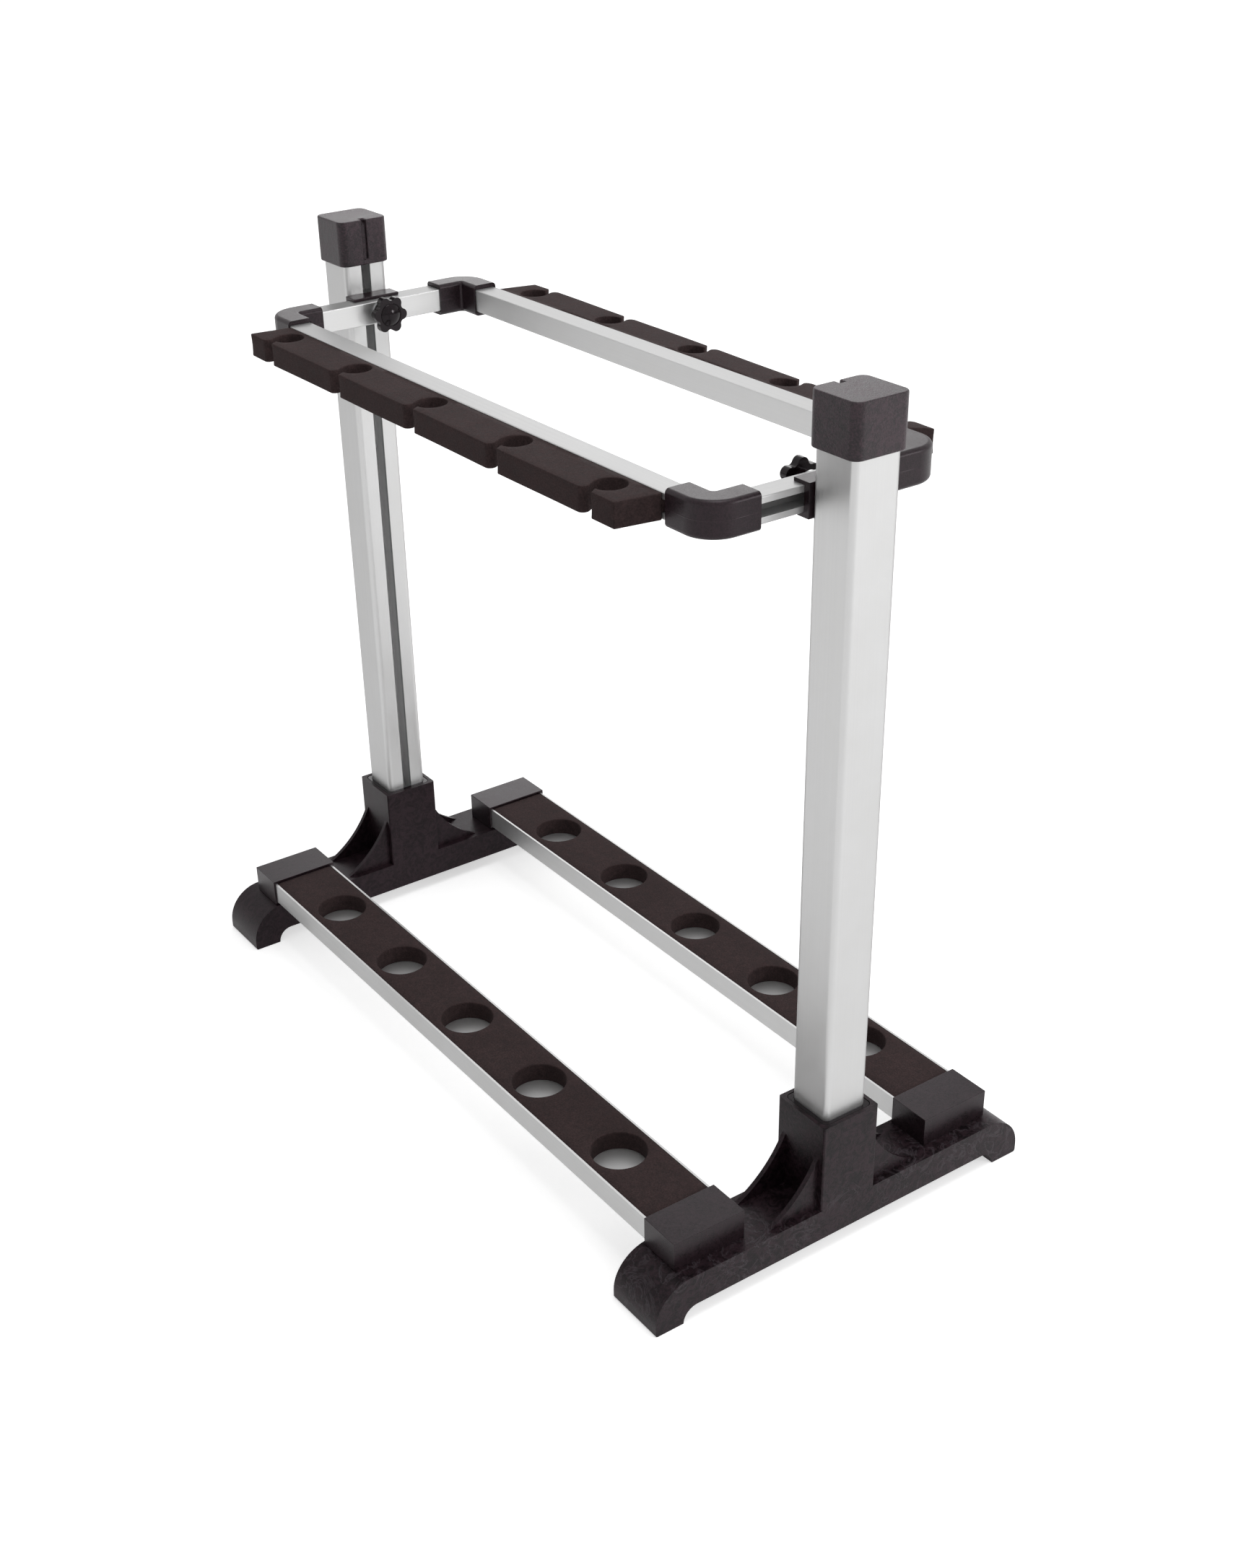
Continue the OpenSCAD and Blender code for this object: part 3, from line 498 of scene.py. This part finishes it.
def hook_foam(side, near_droop, far_droop, pull):
    """A long bar's strip with its open hooks. It is drawn as the front strip is, with y out from
    the bar's face, then turned to its side. Its outer edge droops by as much as is given for each
    end, and the pull draws it in towards the bar at the near end."""
    low, high = size_mm(f"{side}_hook_foam")
    sign = 1 if side == "rear" else -1
    # The bar's face from the middle of the rack, the strip's width, and its slanting ends
    face, width, slant, corner_r = 76.1, 26.2, 5.0, 1.2
    left, right = (high.x - slant, -low.x) if side == "rear" else (-low.x - slant, high.x)
    # A hook's hole: its radius, how far out its middle is, and how far all are moved along the bar
    hole, out, shift = 9.2, 12.1, 4.0
    # A hook's slit, from the hole to the outer edge: the rounded finger on one side, and on the
    # other a straight side from neck to mouth, rounded at both
    tip_r, tip_gap, neck_side, mouth_side = 3.6, 5.0, 0.4, 3.5
    lip_r, throat_r, throat_turn = 1.0, 0.8, 12
    # The tongue in the bar's slot
    tongue_in, tongue_lap, tongue_half, tongue_rim = 6, 1, 3.35, 0.4
    reach, margin, rows = 208, 2.2, (4, 8.5, 13, 17.5, 22)
    corners = [Vector(c) for c in ((-left, 0), (right, 0), (right - slant, width),
                                   (-left - slant, width))]
    path = []
    for k in range(3):
        path += fillet(corners[k - 1], corners[k], corners[k + 1], corner_r)
    for i in reversed(range(COUNT)):
        centre = Vector(((i - (COUNT - 1) / 2) * PITCH - shift, out))
        tip = Vector((-tip_gap - tip_r, width - out - tip_r))
        bearing = math.degrees(math.atan2(tip.y, tip.x) + math.acos((hole + tip_r) / tip.length))
        neck = Vector((neck_side, math.sqrt(hole * hole - neck_side * neck_side)))
        mouth = Vector((mouth_side, width - out))
        start = math.degrees(math.atan2(neck.y, neck.x))
        hole_arc = arc((0, 0), hole, start - throat_turn, bearing - 360, 7)
        lip = fillet(mouth + Vector((1, 0)), mouth, neck, lip_r)
        throat = fillet(mouth, neck, hole_arc[0], throat_r)
        finger = arc(tip, tip_r, bearing - 180, 90, 14)
        path += [centre + p for p in lip + throat + hole_arc + finger]
    path += fillet(corners[2], corners[3], corners[0], corner_r)
    rings = [divided(path, 6)]
    grid = [(float(x), float(y)) for x in range(-reach, reach, GRID) for y in rows]
    grid = [p for p in grid if inside(rings, p, margin)]

    def near(x):
        """From 0 at the far end to 1 at the near end."""
        if abs(x) < (left + right) / 2:
            return (0.5 - sign * x / (left + right)) ** 1.5
        return float(sign * x < 0)

    def lift(x, y):
        sag = -(far_droop + (near_droop - far_droop) * near(x)) * (max(0, y) / width) ** 1.6
        wave = 0.12 * math.sin(x / 21.0 + 0.7) * max(0, y) / width
        return sag + wave - 0.12

    tongue = [Vector(c) for c in ((1 - left, -tongue_in), (right - 1, -tongue_in),
                                  (right - 1, tongue_lap), (1 - left, tongue_lap))]
    shells = [foam_shell(rings, low.z, high.z, RIM, lift, grid),
              foam_shell([divided(tongue, 8)], BARS_Z - tongue_half, BARS_Z + tongue_half,
                         tongue_rim, lambda x, y: 0.0, [])]
    shells = [([(-sign * x, sign * (face + y - pull * near(x) * (max(0, y) / width) ** 2), z)
                for x, y, z in v], f) for v, f in shells]
    foam_piece(side, "hook", "upper_frame", shells)


def bore(node, wall, tone):
    """A bar's hollow, as aluminium() takes it: its centre and half width, in metres, and the tone of
    the painted light and shade inside it.
    """
    low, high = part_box(node)
    return (low + high) / 2, (high.x - low.x) / 2 - wall, tone


def dress():
    """Give every CAD node its material, or the piece that stands for it."""
    post_wall, bar_wall = 0.0021, 0.0014
    for end in ("near", "far"):
        soften(f"{end}_foot", FOOT_BLACK[end], radius=0.0008)
        soften(f"{end}_post_cap", CAP_BLACK, radius=0.001)
        soften(f"{end}_saddle", BLACK, radius=0.0005)
        soften(f"{end}_post_sleeve", GLOSS, radius=0.0004)
        soften(f"{end}_knob", GLOSS, radius=0.0005)
        for side in ("front", "rear"):
            soften(f"{end}_{side}_rail_cap", BLACK, radius=0.0008)
            soften(f"{end}_{side}_elbow", ELBOW_BLACK, radius=0.00045)
        post, bar = f"{end}_post", f"{end}_end_bar"
        # The inside tones are painted light and shade: pale (0.88) in the posts' slots, darker (0.42)
        # in the end bars'.
        paint(nodes[post], aluminium(f"{end}_post_aluminium", 2, bore(post, post_wall, 0.88)))
        paint(nodes[bar], aluminium(f"{end}_bar_aluminium", 1, bore(bar, bar_wall, 0.42)))
        for piece in ("post_screw", "rail_screws", "slot_nut", "clamp_stud", "washer"):
            paint(nodes[f"{end}_{piece}"], STEEL)
    for side in ("front", "rear"):
        paint(nodes[f"{side}_rail"], ALONG_X)
        paint(nodes[f"{side}_bar"], ALONG_X)
        cup_foam(side)
    hook_foam("front", near_droop=0.3, far_droop=0.3, pull=0.0)
    hook_foam("rear", near_droop=3.6, far_droop=0.3, pull=1.2)


dress()

# Studio: a white floor, a soft pale room and three lamps
FLOOR_REACH, FLOOR_TONE = 25.0, 0.84
ROOM_LIGHT, ROOM_RISE = 0.55, 0.33
LIGHTER_SIDE = Vector((0.55, 0.80, 0.10)).normalized()


def make_floor():
    """The floor glows white where it shows, to the camera and in metal and glass, and keeps the
    rack's shadow."""
    r = FLOOR_REACH
    mesh = bpy.data.meshes.new("floor")
    mesh.from_pydata([(-r, -r, 0), (r, -r, 0), (r, r, 0), (-r, r, 0)], [], [(0, 1, 2, 3)])
    floor = bpy.data.objects.new("floor", mesh)
    bpy.context.scene.collection.objects.link(floor)
    material, t = new_material("floor")
    coords = t.add("ShaderNodeTexCoord", out="Object")
    away = t.add("ShaderNodeVectorMath", {0: coords}, out="Value", operation="LENGTH")
    glow = t.math("MULTIPLY", t.shown(), t.span(away, 0.3, 2.0, 0.54, 0.6))
    t.set(Base_Color=grey(FLOOR_TONE), Roughness=0.9, Specular_IOR_Level=0.0,
          Emission_Color=(1, 1, 1, 1), Emission_Strength=glow)
    floor.data.materials.append(material)


def make_world():
    """The room lights the rack softly, more from its lighter side, and is plain white where it
    shows, to the camera and in metal and glass."""
    world = bpy.data.worlds.new("studio")
    world.use_nodes = True
    bpy.context.scene.world = world
    t = Tree(world)
    way = t.add("ShaderNodeTexCoord", out="Generated")
    towards = t.add("ShaderNodeVectorMath", {0: way, 1: LIGHTER_SIDE}, out="Value",
                    operation="DOT_PRODUCT")
    light = t.math("ADD", ROOM_LIGHT, t.math("MULTIPLY", towards, ROOM_RISE))
    strength = t.add("ShaderNodeMix", {"Factor": t.shown(), 2: light, 3: 1.0})
    background = t.nodes["Background"]
    t.links.new(strength, background.inputs["Strength"])
    background.inputs["Color"].default_value = (1, 0.998, 1, 1)


def lamp(name, place, aim, size, power):
    """A round soft lamp, aimed at a point. Its size is the diameter in metres, its power in watts."""
    data = bpy.data.lights.new(name, "AREA")
    data.energy, data.size, data.shape = power, size, "DISK"
    obj = bpy.data.objects.new(name, data)
    obj.location = place
    obj.rotation_euler = (Vector(aim) - Vector(place)).to_track_quat("-Z", "Y").to_euler()
    bpy.context.scene.collection.objects.link(obj)


make_floor()
make_world()
lamp("overhead", (0.4, 0.1, 2.4), (0, 0, 0.2), size=1.1, power=14)
lamp("side", (2.1, 1.4, 0.95), (0, 0, 0.3), size=0.6, power=15)
lamp("behind", (-3.2, 2.29, 1.84), (0, 0, 0.4), size=1.9, power=18)
